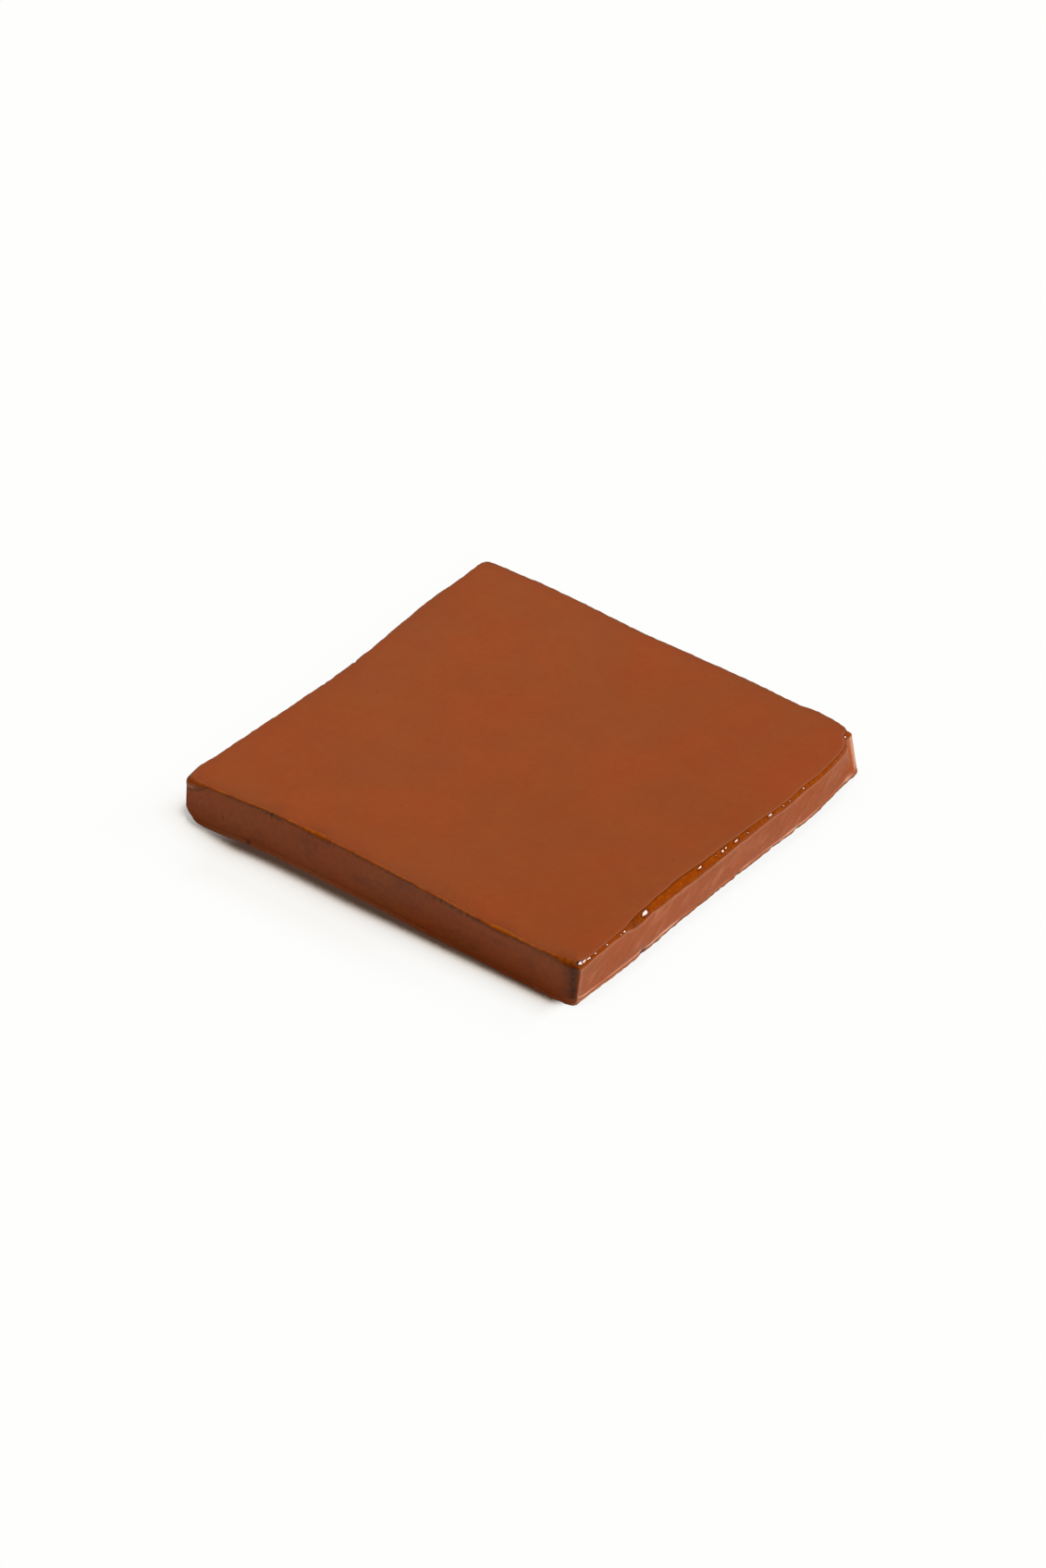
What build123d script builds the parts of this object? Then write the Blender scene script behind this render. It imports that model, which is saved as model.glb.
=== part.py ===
from build123d import *
from math import cos, pi
import os

# A square of fired clay, cut by hand and glazed on its face and its four sides.
# It lies face up on a level floor. Lengths are in millimetres.
# Seen from above, front is -Y, right is +X, back is +Y and left is -X.

side_x = 100.0          # the size that the wet clay was cut to, left to right
side_y = 100.0          # the same, front to back
thickness = 11.4        # from the floor to the glazed face

# The cuts wandered, so each corner of the face is off the true square: how far right, how far back.
face_front_left = (-0.6, 0.4)
face_front_right = (0.6, 0.7)
face_back_right = (1.2, -1.9)
face_back_left = (-1.2, 1.4)

# The foot is the outline on the floor. It stands out a little at the front left and the back right.
foot_front_left = (-1.8, 0.2)
foot_front_right = (-0.7, 0.7)
foot_back_right = (0.6, -0.3)
foot_back_left = (-0.9, 0.9)

# How far each cut swells out from the straight line between its corners, at even steps along it.
# A hollow is negative.
face_front_swell = (-1.4, -1.7, -1.0, -0.2, 0.3)
face_right_swell = (0.1, 0.0, 0.5, 1.1, 2.0)
face_back_swell = (0.2, 0.2, -0.2, 0.4, 0.7)
face_left_swell = (0.3, -0.8, -1.8, -1.0, -0.1)
foot_front_swell = (-0.7, -0.5, -0.5, -0.5, -0.1)
foot_right_swell = (0.6, 0.3, 0.5, 0.8, 1.1)
foot_back_swell = (0.5, 0.6, 0.6, 0.7, 0.7)
foot_left_swell = (-0.4, -0.8, -1.0, -0.9, -0.7)

# How far before each corner its cut begins to turn, and how far past it the next cut is straight.
# The corners run from the front left round to the back left.
face_turns = ((1.8, 1.8), (1.8, 1.8), (6.5, 7.5), (1.8, 2.6))
foot_turns = ((2.2, 2.2), (1.8, 1.8), (2.2, 2.2), (2.6, 2.6))

arris_round = 0.8       # the glaze rolls over the edge of the face
foot_bevel = 0.4        # the sharp lower edge is rubbed off

# The front edge bowed up as the tile dried, so a shallow arch opens between it and the floor.
arch_height = 1.1       # at the edge itself
arch_span = 66.0        # along the edge, from floor to floor
arch_place = -17.0      # the arch's middle, to the right of the tile's middle
arch_reach = 9.0        # how far in under the tile it fades out

# The foot's front left corner is knocked off at a slant.
knock_height = 2.4      # how far up the corner the slant reaches
knock_reach = 2.0       # how far in under the tile it reaches

# The face was smoothed by hand, so it still rises and falls a little.
wave_height = 0.16      # from the mean level to a crest
wave_span_x = 64.0      # from crest to crest, left to right
wave_span_y = 47.0      # from crest to crest, front to back
wave_shift = 11.0       # how far right of the middle a crest lies
edge_fall = 0.25        # how far the face drops from its middle to its edges
fall_power = 4          # how late the drop begins, as a power of the distance from the middle
face_steps = 12         # stretches along each side of the face where its level is set
face_margin = 1.2       # the modelled level reaches past the tile by this ratio


def off_square(shifts):
    """The true square's corners, from the front left round to the back left, each shifted."""
    square = ((-1, -1), (1, -1), (1, 1), (-1, 1))
    return [
        (sx * side_x / 2 + right, sy * side_y / 2 + back)
        for (sx, sy), (right, back) in zip(square, shifts)
    ]


def outline(shifts, turns, swells, height):
    """A closed outline at a height: four cuts through their swells, joined by turned corners."""
    corners = [Vector(x, y, height) for x, y in off_square(shifts)]
    curves = []
    for index, swell in enumerate(swells):
        following = (index + 1) % len(corners)
        begin, end = corners[index], corners[following]
        along = (end - begin).normalized()
        outward = along.cross(Vector(0, 0, 1))
        first = begin + along * turns[index][1]
        last = end - along * turns[following][0]
        steps = len(swell) + 1
        middle = [
            first + (last - first) * ((step + 1) / steps) + outward * out
            for step, out in enumerate(swell)
        ]
        curves.append(Spline(first, *middle, last, tangents=(along, along)))
        onward = (corners[(following + 1) % len(corners)] - end).normalized()
        curves.append(Bezier(last, end, end + onward * turns[following][1]))
    return Wire(curves)


def face_level(x, y):
    """The height of the glazed face above the floor, at a place on it."""
    wave = cos(2 * pi * (x - wave_shift) / wave_span_x) * cos(2 * pi * y / wave_span_y)
    fall = (abs(2 * x / side_x) ** fall_power + abs(2 * y / side_y) ** fall_power) / 2
    return thickness + wave_height * wave - edge_fall * fall


def even_places(side):
    """Places at even steps from one side of the tile to the other, and a little past both."""
    reach = side / 2 * face_margin
    return [reach * (2 * step / face_steps - 1) for step in range(face_steps + 1)]


# The block of clay, with a slanted cut on each side, a little taller than the tile.
foot_outline = outline(
    (foot_front_left, foot_front_right, foot_back_right, foot_back_left),
    foot_turns,
    (foot_front_swell, foot_right_swell, foot_back_swell, foot_left_swell),
    0,
)
face_outline = outline(
    (face_front_left, face_front_right, face_back_right, face_back_left),
    face_turns,
    (face_front_swell, face_right_swell, face_back_swell, face_left_swell),
    thickness + 2 * wave_height,
)
tile = Solid.make_loft([foot_outline, face_outline], ruled=True)

# The wavy face is cut down into the block.
level_points = [[Vector(x, y, face_level(x, y)) for y in even_places(side_y)] for x in even_places(side_x)]
level = Face.make_surface_from_array_of_points(level_points)
tile = tile.cut(Solid.extrude(level, Vector(0, 0, thickness)))

# The rolled arris round the face, and the bevel round the foot.
face = tile.faces().sort_by(Axis.Z)[-1]
tile = tile.fillet(arris_round, face.edges())
foot = tile.faces().sort_by(Axis.Z)[0]
tile = tile.chamfer(foot_bevel, None, foot.edges())

# The arch under the front edge is the crest of a wide cylinder that sinks as it runs in.
arch_radius = (arch_span**2 / 4 + arch_height**2) / (2 * arch_height)
crest = Vector(arch_place, -side_y / 2, arch_height)
inward = Vector(0, arch_reach, -arch_height).normalized()
upward = Vector(0, arch_height, arch_reach).normalized()
arch_end = Plane(origin=crest - upward * arch_radius - inward * arch_reach, z_dir=inward)
arch_length = 3 * arch_reach
tile = tile.cut(Solid.make_cylinder(arch_radius, arch_length, arch_end))

# The knocked corner is a flat cut through the turned corner, down and in under the foot.
corner_x, corner_y = off_square((foot_front_left,))[0]
knock_plane = Plane(
    origin=(corner_x + foot_turns[0][1] / 4, corner_y + foot_turns[0][0] / 4, knock_height),
    z_dir=(-knock_height, -knock_height, -knock_reach * 2**0.5),
)
tile = tile.split(knock_plane, keep=Keep.BOTTOM)

# The origin is on the floor, under the middle of the tile's overall box.
box = tile.bounding_box()
tile = Pos(-box.center().X, -box.center().Y, -box.min.Z) * tile
tile.label = "tile"

os.makedirs("parts", exist_ok=True)
export_step(tile, "parts/tile.step")
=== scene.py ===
from math import cos, pi, radians, sin, tan, tau

import bpy
import numpy as np
from mathutils import Matrix, Vector, noise
from mathutils.bvhtree import BVHTree


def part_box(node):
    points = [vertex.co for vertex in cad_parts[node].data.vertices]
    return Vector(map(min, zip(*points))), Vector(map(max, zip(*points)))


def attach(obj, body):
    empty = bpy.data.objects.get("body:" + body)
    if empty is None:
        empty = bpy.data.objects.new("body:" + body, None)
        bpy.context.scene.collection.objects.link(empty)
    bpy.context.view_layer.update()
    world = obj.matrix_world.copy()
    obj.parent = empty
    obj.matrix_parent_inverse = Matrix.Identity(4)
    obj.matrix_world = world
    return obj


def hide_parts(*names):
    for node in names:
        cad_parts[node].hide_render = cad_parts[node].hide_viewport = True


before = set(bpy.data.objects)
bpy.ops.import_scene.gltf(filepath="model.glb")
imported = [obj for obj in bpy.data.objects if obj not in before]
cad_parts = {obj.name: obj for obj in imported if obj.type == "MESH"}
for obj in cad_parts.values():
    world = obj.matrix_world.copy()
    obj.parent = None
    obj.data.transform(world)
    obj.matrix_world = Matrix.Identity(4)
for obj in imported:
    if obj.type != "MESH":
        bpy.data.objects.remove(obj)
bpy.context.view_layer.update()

# The outline of the tile.
# The real tile is one slab of red clay cut by hand, so no side is straight and no corner square.
# Its outline is taken off the solid at stations that lie closer where the glaze has more detail.
mm = 0.001
survey_count = 8000     # probes all round, to measure the outline
station_count = 1408    # places on the outline that the mesh is built from
side_begins = 42        # how far from the middle, in millimetres, a place begins to count as on a side
side_reached = 47       # from where on it counts in full
right_care = 1.2        # how much closer the stations lie on the right side
front_care = 0.5        # and on the front side
direction_passes = 8    # how often the outline's direction is smoothed
side_sharpness = 4      # how sharply a corner parts one side from the next
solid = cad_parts["tile"].data
solid_skin = BVHTree.FromPolygons(
    [vertex.co for vertex in solid.vertices], [face.vertices for face in solid.polygons]
)
lowest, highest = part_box("tile")
length = highest.x - lowest.x


def touch(start, heading):
    """The place where a probe that sets out from start first meets the solid."""
    place = solid_skin.ray_cast(Vector(start), Vector(heading))[0]
    return np.array(place) if place else np.full(3, np.nan)


def ramp(value, low, high):
    """0 up to low, 1 from high on, and a smooth climb between them."""
    share = np.clip((value - low) / (high - low), 0, 1)
    return share * share * (3 - 2 * share)


def hump(value, middle, reach):
    """1 at the middle, and next to nothing at twice the reach from it."""
    return np.exp(-(((value - middle) / reach) ** 2))


turns = np.arange(survey_count) * tau / survey_count
half_height = (lowest.z + highest.z) / 2
survey = np.array([
    touch((cos(turn) * length, sin(turn) * length, half_height), (-cos(turn), -sin(turn), 0))
    for turn in turns
])[:, :2]
on_right = ramp(survey[:, 0] / mm, side_begins, side_reached)
on_front = ramp(-survey[:, 1] / mm, side_begins, side_reached)
care = 1 + right_care * on_right + front_care * on_front
strides = np.linalg.norm(np.roll(survey, -1, axis=0) - survey, axis=1)
walked = np.concatenate([[0], np.cumsum(strides * care)])
closed_survey = np.vstack([survey, survey[:1]])
stations = np.linspace(0, walked[-1], station_count, endpoint=False)
outline = np.stack([np.interp(stations, walked, closed_survey[:, axis]) for axis in (0, 1)], axis=1)
along = np.roll(outline, -2, axis=0) - np.roll(outline, 2, axis=0)
for _ in range(direction_passes):
    along = (np.roll(along, 1, axis=0) + 2 * along + np.roll(along, -1, axis=0)) / 4
along /= np.linalg.norm(along, axis=1)[:, None]
outward = np.stack([along[:, 1], -along[:, 0]], axis=1)
plan_x, plan_y = outline[:, 0] / mm, outline[:, 1] / mm
facing = {
    "front": np.clip(-outward[:, 1], 0, 1) ** side_sharpness,
    "right": np.clip(outward[:, 0], 0, 1) ** side_sharpness,
    "back": np.clip(outward[:, 1], 0, 1) ** side_sharpness,
    "left": np.clip(-outward[:, 0], 0, 1) ** side_sharpness,
}
total = sum(facing.values())
facing = {side: share / total for side, share in facing.items()}

# The cut sides of the tile.
# Each side is a slanted cut through wet clay, smoothed by the glaze that ran down it.
# It is known from one line low on the side and one line high on it, which the cut joins straight.
low_line = lowest.z + 2.6 * mm
high_line = highest.z - 1.9 * mm
probe_reach = 5 * mm
ease_passes = 60        # how often a line is smoothed
bend_passes = 20        # how often the measure of its bend is smoothed
straight_bend = 0.03    # up to here, in radians per millimetre, a stretch counts as straight
corner_bend = 0.12      # from here on it counts as a corner


def side_line(height):
    """The outline at a height, probed level from outside each station."""
    return np.array([
        touch((x + out_x * probe_reach, y + out_y * probe_reach, height), (-out_x, -out_y, 0))
        for (x, y), (out_x, out_y) in zip(outline, outward)
    ])[:, :2]


def eased(line, ease):
    """The same closed line with its small facets smoothed away wherever ease is 1."""
    for _ in range(ease_passes):
        middle = (np.roll(line, 1, axis=0) + np.roll(line, -1, axis=0)) / 2
        line = line + (middle - line) * 0.5 * ease[:, None]
    return line


spacing = np.linalg.norm(np.roll(outline, -1, axis=0) - outline, axis=1)
bend = np.linalg.norm(np.roll(outward, -1, axis=0) - outward, axis=1) / spacing
for _ in range(bend_passes):
    bend = (np.roll(bend, 1) + 2 * bend + np.roll(bend, -1)) / 4
straightness = 1 - ramp(bend * mm, straight_bend, corner_bend)
low_side = eased(side_line(low_line), straightness)
high_side = eased(side_line(high_line), straightness)

# The corners stand out a little, the left cut drew in near the back, and the right cut bulges.
# Each swell has its place in the plan, its reach, and how far right and how far back it goes.
low_swells = (
    (-51.8, -47.5, 5.0, -0.52, -0.12),
    (48.9, -49.7, 0.75, 0.42, -0.16),
)
high_swells = (
    (48.9, -49.7, 0.75, 0.66, 0.06),
    (-51.8, -47.5, 5.0, -0.55, -0.12),
    (40.0, 48.0, 5.5, 0.0, 0.60),
    (50.0, 45.0, 3.0, -0.40, 0.0),
    (49.4, 45.8, 2.4, -0.85, -0.25),
    (-51.0, -45.5, 2.4, -0.22, 0.0),
    (-50.5, 40.0, 7.0, 0.35, 0.0),
)
right_swells = (        # place along the right side, reach, and how far out
    (36.5, 6.0, 0.60),
    (24.5, 4.5, -0.50),
)


def near(x, y, reach):
    """1 at a place in the plan, in millimetres, and next to nothing at twice the reach from it."""
    return hump(np.hypot(plan_x - x, plan_y - y), 0, reach)


def humps(value, spots):
    """Humps added up; each spot has its middle, its reach and its strength."""
    return sum(strength * hump(value, middle, reach) for middle, reach, strength in spots)


def swelled(swells):
    """How far all of the swells together move each station in the plan."""
    shift = np.zeros(outline.shape)
    for x, y, reach, right, back in swells:
        shift += near(x, y, reach)[:, None] * np.array([right, back]) * mm
    return shift


low_shift = swelled(low_swells)
low_side += low_shift
high_side += swelled(high_swells)
high_side[:, 0] += facing["right"] * humps(plan_y, right_swells) * mm


def side_at(heights):
    """Each station's place on its side, at its own height."""
    share = (heights - low_line) / (high_line - low_line)
    return low_side + (high_side - low_side) * np.reshape(share, (-1, 1))


# The glazed face of the tile.
# It was smoothed by hand, so its level rises and falls by a few tenths of a millimetre.
# One smooth sheet is fitted to the level of the solid, so that the glaze mirrors it without facets.
sheet_order = 9         # how wavy the sheet can be
sheet_spread = 0.52     # the sheet reaches this share of the tile's length from its middle each way
face_inset = 1.5 * mm   # the probes stay this far inside the arris
probed_rings = 16
innermost_ring = 0.04   # as a share of the way out from the middle
stations_apart = 8      # from one probed station to the next
dimple_size = 13 * mm
dimple_depth = 0.03 * mm
pit_size = 4.5 * mm
pit_depth = 0.010 * mm
centre = outline.mean(axis=0)
inner_edge = high_side - outward * face_inset
samples = np.vstack([
    centre + (inner_edge[::stations_apart] - centre) * share
    for share in np.linspace(innermost_ring, 1, probed_rings)
])
sample_heights = np.array([touch((x, y, highest.z + length), (0, 0, -1))[2] for x, y in samples])


def sheet_terms(places):
    """The smooth terms that the sheet is a sum of, at each place."""
    scaled = places / (length * sheet_spread)
    return np.polynomial.chebyshev.chebvander2d(scaled[:, 0], scaled[:, 1], (sheet_order, sheet_order))


sheet = np.linalg.lstsq(sheet_terms(samples), sample_heights, rcond=None)[0]


def grain(places, size, seed):
    """Smooth random values from -1 to 1 at the places, with lumps of about the given size."""
    offset = Vector((seed, seed, seed))
    flat = places.reshape(-1, places.shape[-1])
    if flat.shape[1] == 2:
        flat = np.column_stack([flat, np.zeros(len(flat))])
    values = [noise.noise(Vector(place) / size + offset) for place in flat]
    return np.array(values).reshape(places.shape[:-1])


def face_level(places):
    """The height of the glazed face at each place, with the gentle dimples of the glaze."""
    dimples = dimple_depth * grain(places, dimple_size, seed=3.1)
    pits = pit_depth * grain(places, pit_size, seed=7.7)
    return sheet_terms(places) @ sheet + dimples + pits


# The arris, where the glaze rolls over from the face to the sides.
# Glaze draws thin over a sharp edge and gathers on a blunt one, so the roll's width changes a lot.
# On the right it gathered in a wide band: place along the side, how far in it reaches, how far down.
right_band = (
    (-50.0, 0.55, 0.90),
    (-45.5, 0.40, 0.80),
    (-40.0, 0.40, 0.62),
    (-34.2, 0.45, 0.85),
    (-32.6, 0.85, 1.65),
    (-31.0, 0.98, 1.92),
    (-26.0, 1.10, 1.75),
    (-21.0, 1.15, 2.40),
    (-15.0, 1.25, 2.00),
    (-10.5, 1.10, 2.30),
    (-7.5, 1.00, 2.20),
    (-3.0, 0.95, 1.80),
    (3.0, 0.75, 1.70),
    (7.0, 0.55, 1.70),
    (11.5, 0.45, 1.30),
    (15.0, 0.40, 1.15),
    (21.0, 0.45, 1.00),
    (26.0, 0.50, 0.95),
    (33.0, 0.45, 0.95),
    (40.0, 0.35, 1.10),
    (46.0, 1.00, 1.00),
)
front_in = 0.42         # the roll on the front
front_down = 0.34
back_roll = 0.75        # in and down alike, on the back and the left
front_pools = (         # place along the front, reach and strength of each pool of glaze
    (-18.0, 3.2, 1.0),
    (30.5, 4.0, 1.0),
    (46.0, 3.0, 0.9),
)
band_places, band_in, band_down = np.array(right_band).T
behind = facing["back"] + facing["left"]
pools = humps(plan_x, front_pools)
front_left_nose = near(-50.5, -49.0, 2.6)
back_right_beak = near(49.0, 46.3, 0.9)
front_right_facet = facing["front"] * near(47.0, -50.0, 2.4)
corner_facet = near(48.6, -49.4, 1.7)
roll_in = facing["right"] * np.interp(plan_y, band_places, band_in)
roll_in += front_in * facing["front"] + back_roll * behind
roll_down = facing["right"] * np.interp(plan_y, band_places, band_down)
roll_down += front_down * facing["front"] + back_roll * behind
widenings = (           # where the roll is wider or narrower: how much further in, and further down
    (facing["front"] * pools, 0.50, 0.42),
    (front_left_nose, 1.1, 1.9),
    (back_right_beak, -0.3, -0.4),
    (front_right_facet, 0.15, 0.5),
    (corner_facet, 1.1, 0.0),
)
for zone, further_in, further_down in widenings:
    roll_in += zone * further_in
    roll_down += zone * further_down
slow_uneven = 0.16      # how far the width strays from its mean, as a share of it
quick_uneven = 0.28     # and in short waves on the front
corner_drawn = 0.45     # how much of the roll's height is lost at the front right corner
unevenness = 1 + slow_uneven * grain(outline, 3 * mm, seed=1.3)
unevenness += quick_uneven * facing["front"] * grain(outline, 1.2 * mm, seed=4.3)
roll_in = roll_in * unevenness * mm
roll_down = roll_down * unevenness * (1 - corner_drawn * near(48.9, -49.8, 0.9)) * mm

# The arris itself wanders out and in: how strongly, the length of the waves, and their seed.
back_stand = 0.10       # how far it stands out at the back and the left
front_set_back = 0.12
beak_reach = 1.85       # how far the beak of glaze at the back right corner stands out
edge_passes = 4         # the level of the face and the place of the arris settle in a few passes
wanderings = (
    (0.10, 7.0, 5.2),
    (0.09 - 0.06 * facing["right"] + 0.07 * behind, 2.4, 9.4),
    (0.13 * facing["front"] + 0.11 * behind, 0.9, 3.7),
    (0.20 * facing["back"] * ramp(plan_x, 20, 32), 1.3, 12.5),
)
edge_wander = back_stand * behind - front_set_back * facing["front"] + beak_reach * back_right_beak
for strength, size, seed in wanderings:
    edge_wander += strength * grain(outline, size * mm, seed)
edge_heights = np.full(station_count, highest.z)
for _ in range(edge_passes):
    edge_places = side_at(edge_heights) + outward * edge_wander[:, None] * mm
    edge_heights = face_level(edge_places)
edge = np.column_stack([edge_places, edge_heights])

# The rows that wrap the edge of the tile, from its underside round the foot and up to the face.
# The foot is probed from the solid, with its bevel, the arch under the front and the knocked corner.
# Its probes aim at a pivot inside the foot, from straight below and then at flatter and flatter tilts.
steep_tilt = -0.97
slant_tilt = -0.50
top_tilt = -0.16
under_rows = 3
bevel_rows = 10
above_rows = 3
foot_rows = under_rows + bevel_rows + above_rows
side_rows = 21
roll_rows = 15
shoulder_steps = (0.003, 0.007, 0.013, 0.022, 0.036, 0.055, 0.08)   # shares of the way to the middle
pivot_in = 1.9          # how far inside the low line the pivot lies
corner_pivot_in = 0.9   # and at the sharp front right corner
corner_near = near(48.9, -49.7, 2.2)
pivot_depth = pivot_in - (pivot_in - corner_pivot_in) * corner_near
pivot = eased(low_side - outward * pivot_depth[:, None] * mm, 1 - straightness)
shift_begins = lowest.z + 0.4 * mm
low_ring = np.column_stack([low_side, np.full(station_count, low_line)])
rows = []
tilts = np.concatenate([
    np.linspace(-pi / 2, steep_tilt, under_rows, endpoint=False),
    np.linspace(steep_tilt, slant_tilt, bevel_rows, endpoint=False),
    np.linspace(slant_tilt, top_tilt, above_rows),
])
for tilt in tilts:
    row = []
    for (x, y), (out_x, out_y) in zip(pivot, outward):
        heading = np.array([out_x * cos(tilt), out_y * cos(tilt), sin(tilt)])
        row.append(touch(np.array([x, y, low_line]) + heading * probe_reach, -heading))
    row = np.array(row)
    row[:, :2] += low_shift * ramp(row[:, 2:], shift_begins, low_line)
    rows.append(row)
upright = edge - low_ring
upright /= np.linalg.norm(upright, axis=1)[:, None]
roll_start = edge - upright * roll_down[:, None]
even_shares = np.linspace(0, 1, side_rows, endpoint=False)
side_shares = (even_shares + (1 - np.cos(even_shares * pi)) / 2) / 2
for share in side_shares:
    rows.append(low_ring + (roll_start - low_ring) * share)
inner_places = eased(edge[:, :2] - outward * roll_in[:, None], 1 - straightness)
roll_end = np.column_stack([inner_places, face_level(inner_places)])
right_flatness = 0.72   # how far the roll falls short of a full round on the right
front_flatness = 0.5    # and at the pools and the facet on the front
fullness = 1 - right_flatness * facing["right"]
fullness -= front_flatness * facing["front"] * np.clip(pools + corner_facet, 0, 1)
for share in np.linspace(0, 1, roll_rows):
    chord = roll_start + (roll_end - roll_start) * share
    bow = 2 * share * (1 - share) * (edge - (roll_start + roll_end) / 2)
    rows.append(chord + bow * fullness[:, None])
for step in shoulder_steps:
    places = inner_places + (centre - inner_places) * step
    rows.append(np.column_stack([places, face_level(places)]))
wrap = np.array(rows)

# The slant of the knocked corner is worn round, so its sharp borders are eased away.
# The first row stays as it is, because the underside is filled in from it.
worn_reach = 3.0
worn_full = 2.4         # up to this height it is worn in full
worn_top = 3.6
worn_passes = 40
worn_round = near(-51.0, -49.0, worn_reach) * (1 - ramp(wrap[:, :, 2] / mm, worn_full, worn_top))
worn_round[0] = 0
for _ in range(worn_passes):
    beside = (np.roll(wrap, 1, axis=1) + np.roll(wrap, -1, axis=1)) / 4
    beside += (np.roll(wrap, 1, axis=0) + np.roll(wrap, -1, axis=0)) / 4
    wrap = wrap + (beside - wrap) * 0.5 * worn_round[:, :, None]

# Relief of the glaze on the wrap: every swell, drop, ripple, drag mark, lip and chip is real shape.
# Where wet glaze ran down the cut clay it left soft drag marks; where it stopped it left a lip.
# Heights are in millimetres. The side and the roll pass into each other over a few rows.
swell_height = 0.05
dent_height = 0.016
drag_ridge = 0.011
drag_stretch = 5        # how much longer than wide a drag mark is
drag_lean = 0.45        # in radians, up from level
fine_drag_lean = 0.75
smear_height = 0.022
smear_squeeze = (0.35, 1, 1)
ripple_place = -31.6    # along the right side
ripple_reach = 1.9
ripple_span = 0.62      # from crest to crest
ripple_height = 0.080
row_index = np.arange(len(wrap))[:, None]
first_roll = foot_rows + side_rows
last_roll = first_roll + roll_rows - 1
roll_share = np.clip((row_index - first_roll) / (roll_rows - 1), 0, 1)
past_foot = ramp(row_index, foot_rows - 4, foot_rows + 1)     # each blends in over a few rows
past_side = ramp(row_index, first_roll - 3, first_roll + 3)
on_side = past_foot * (1 - past_side)
into_roll = ramp(row_index, first_roll - 3, first_roll + 2)
past_roll = ramp(row_index, last_roll - 3, last_roll + 2)
on_roll = into_roll * (1 - past_roll)
wrap_x, wrap_y, wrap_z = (wrap[:, :, axis] / mm for axis in range(3))


def normals_of(grid):
    """The outward direction at each place of the wrap."""
    around = np.roll(grid, -1, axis=1) - np.roll(grid, 1, axis=1)
    upward = np.gradient(grid, axis=0)
    cross = np.cross(around, upward)
    return cross / np.linalg.norm(cross, axis=2)[:, :, None]


def slanted(grid, lean):
    """The places on the right side turned and squeezed, so that grain there runs up at the lean."""
    length_ways = grid[:, :, 1] * cos(lean) + grid[:, :, 2] * sin(lean)
    cross_ways = grid[:, :, 2] * cos(lean) - grid[:, :, 1] * sin(lean)
    return np.stack([grid[:, :, 0], length_ways / drag_stretch, cross_ways], axis=2)


push = on_side * swell_height * grain(wrap, 9 * mm, seed=2.2)
push += on_side * dent_height * grain(wrap, 2.6 * mm, seed=4.4)
drags = grain(slanted(wrap, drag_lean), 1.7 * mm, seed=6.1)
drags += 0.5 * grain(slanted(wrap, fine_drag_lean), 0.8 * mm, seed=8.3)
push += drag_ridge * facing["right"] * on_side * drags
smears = grain(wrap * np.array(smear_squeeze), 1.6 * mm, seed=11.3)
push += smear_height * facing["front"] * on_side * smears
ripples = facing["right"] * on_roll * hump(wrap_y, ripple_place, ripple_reach)
ripple_wave = np.sin(wrap_y * tau / ripple_span)
push += ripple_height * ripples * ripple_wave

# The foot has a worn lip on the front and the right: a low ridge with a groove above it.
# Near the front right corner the lip on the right is double, so it reaches higher there.
right_lip = 0.76        # how far the lip reaches up from the foot
front_lip = 0.30
double_rise = 0.70
double_ends = (-31, -25)    # from where to where along the right side the second one fades out
lip_waves = 0.15
ridge_height = 0.10
ridge_place = 0.15      # above the lip
ridge_reach = 0.26
groove_depth = 0.12
groove_place = 0.80     # above the lip
groove_reach = 0.30
crumble_height = 0.13
crumble_ends = (0.7, 1.6)   # above the foot
front_wear = 0.8        # how much of the lip's relief the front has
foot_base = wrap_z[2]
above_foot = wrap_z - foot_base
double_lip = facing["right"] * (1 - ramp(plan_y, *double_ends))
foot_lip = right_lip - (right_lip - front_lip) * facing["front"] + double_rise * double_lip
foot_lip += lip_waves * grain(outline, 5 * mm, seed=2.9)
lip_zone = facing["right"] + front_wear * facing["front"]
push += ridge_height * lip_zone * hump(above_foot, foot_lip + ridge_place, ridge_reach)
push -= groove_depth * lip_zone * hump(above_foot, foot_lip + groove_place, groove_reach)
crumbly = lip_zone * (1 - ramp(above_foot, *crumble_ends))
push += crumble_height * crumbly * grain(wrap, 1.5 * mm, seed=5.9)


# Below the front arris the clay tore as it was cut, and the glaze didn't close over it.
# A thin broken seam runs all along there, and a wider torn strip in a few places.
def broken_line(mean, *waves):
    """How strong a line is along the outline: its mean, and each wave's height, length and seed."""
    strength = mean + sum(height * grain(outline, size * mm, seed) for height, size, seed in waves)
    return np.clip(strength, 0, 1)


tear_spots = (          # place along the front, reach and strength
    (-30.5, 3.0, 1.0),
    (15.5, 3.5, 1.0),
    (23.0, 3.0, 1.0),
    (43.0, 4.0, 0.6),
)
tear_depth = 0.16
tear_drop = 0.28        # how far below the roll of the glaze the torn strip lies
tear_reach = 0.45
tear_squeeze = (1, 1, 0.4)
tear_contrast = 3.0
tear_mean = 0.15
seam_depth = 0.06
seam_drop = 0.10
seam_reach = 0.17
below_edge = (edge[:, 2] - roll_down) / mm
tears = np.clip(humps(plan_x, tear_spots), 0, 1)
tear_zone = facing["front"] * hump(wrap_z, below_edge - tear_drop, tear_reach)
tear_grain = tear_mean + tear_contrast * grain(wrap * np.array(tear_squeeze), 0.6 * mm, seed=7.1)
tear_mask = tear_zone * tears * np.clip(tear_grain, 0, 1)
seam = broken_line(0.55, (1.6, 4.0, 8.8), (1.4, 0.7, 6.4))
seam_mask = facing["front"] * hump(wrap_z, below_edge - seam_drop, seam_reach) * seam
push -= tear_depth * tear_mask + seam_depth * seam_mask

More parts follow.
